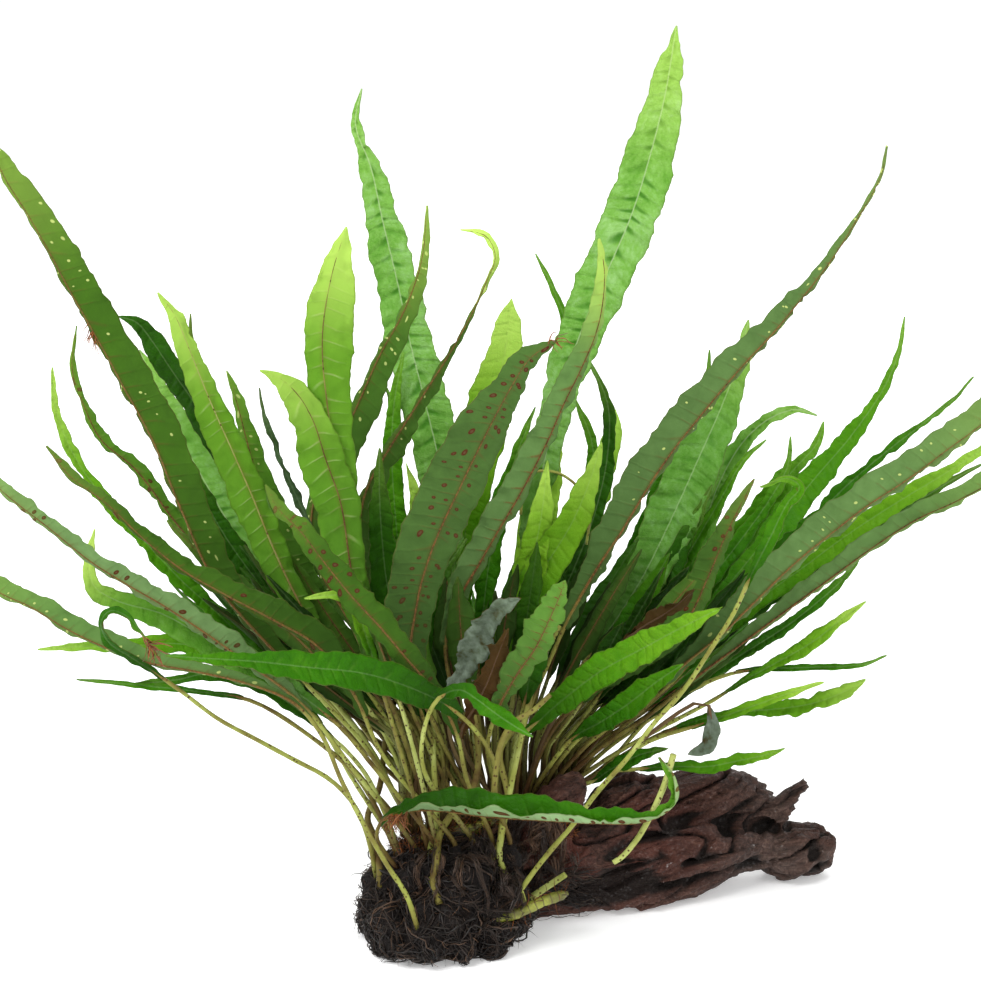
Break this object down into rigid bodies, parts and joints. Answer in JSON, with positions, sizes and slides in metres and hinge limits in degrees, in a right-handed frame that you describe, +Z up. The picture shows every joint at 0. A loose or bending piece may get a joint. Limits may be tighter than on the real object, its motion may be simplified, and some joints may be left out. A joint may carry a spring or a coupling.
{
  "type": "java fern on driftwood",
  "caption": "Clump of long strap-like fern fronds that rise from creeping stems and a root mat on a gnarled piece of dark driftwood, which stands on its own flat underside.",
  "frame": {"origin": "on the flat underside of the log, between the root mat and the log's free end, level with the surface it rests on", "axes": "+X to the right along the log towards its knobbed end, +Y away from the front, +Z up"},
  "size_m": [0.333, 0.1875, 0.3004],
  "materials": {
    "wood": "dark, damp, furrowed",
    "root": "matte fibres",
    "rhizome": "satin, ringed",
    "leaf_dark": "satin",
    "leaf_green": "glossy",
    "leaf_lime": "glossy, thin",
    "leaf_dead": "dull, withered"
  },
  "bodies": {
    "root": {"driftwood_log": "wood", "driftwood_ridge": "wood", "driftwood_spur": "wood", "driftwood_knob": "wood", "driftwood_stub": "wood", "root_mat": "root", "rhizome_back": "rhizome", "rhizome_crown": "rhizome", "rhizome_front": "rhizome", "rhizome_low": "rhizome", "frond_thin_left": "leaf_green", "frond_bumpy_left": "leaf_green", "frond_dark_left": "leaf_dark", "frond_dotted_left": "leaf_green", "frond_centre_thin": "leaf_green", "frond_tall_left": "leaf_green", "frond_lime_behind": "leaf_lime", "frond_lime_middle": "leaf_lime", "frond_tall_right": "leaf_green", "frond_grey_middle": "leaf_green", "frond_lime_leaning": "leaf_lime", "frond_quilted_right": "leaf_green", "frond_arched_right": "leaf_green", "frond_dark_tip_right": "leaf_dark", "frond_wide_right": "leaf_green", "frond_thin_right": "leaf_dark", "frond_hooked_right": "leaf_dark", "frond_lime_flat_right": "leaf_lime", "frond_lime_far_left": "leaf_lime", "frond_long_left": "leaf_dark", "frond_lime_left": "leaf_lime", "frond_lime_folded": "leaf_lime", "frond_yellow_dotted": "leaf_dark", "frond_curled_tip": "leaf_dark", "frond_lime_upright": "leaf_lime", "frond_centre_dark": "leaf_dark", "frond_dark_centre": "leaf_dark", "frond_dead_grey": "leaf_dead", "frond_tall_folded": "leaf_dark", "frond_pale_front": "leaf_green", "frond_wide_low": "leaf_green", "frond_long_right": "leaf_dark", "frond_dark_right": "leaf_dark", "frond_second_low": "leaf_green", "frond_broad_far_right": "leaf_dark", "frond_lime_far_right": "leaf_lime", "frond_edge_right": "leaf_green", "frond_lime_low_right": "leaf_lime", "frond_over_wood": "leaf_green", "frond_lime_flat_left": "leaf_lime", "frond_dotted_far_left": "leaf_green", "frond_lime_curled_left": "leaf_lime", "frond_dark_long_left": "leaf_dark", "frond_short_front": "leaf_green", "frond_diagonal_under": "leaf_green", "frond_broad_flat_front": "leaf_green", "frond_long_stalk_right": "leaf_green", "frond_edge_left": "leaf_green", "frond_ring_left": "leaf_green", "frond_front_curled": "leaf_green"}
  },
  "joints": []
}
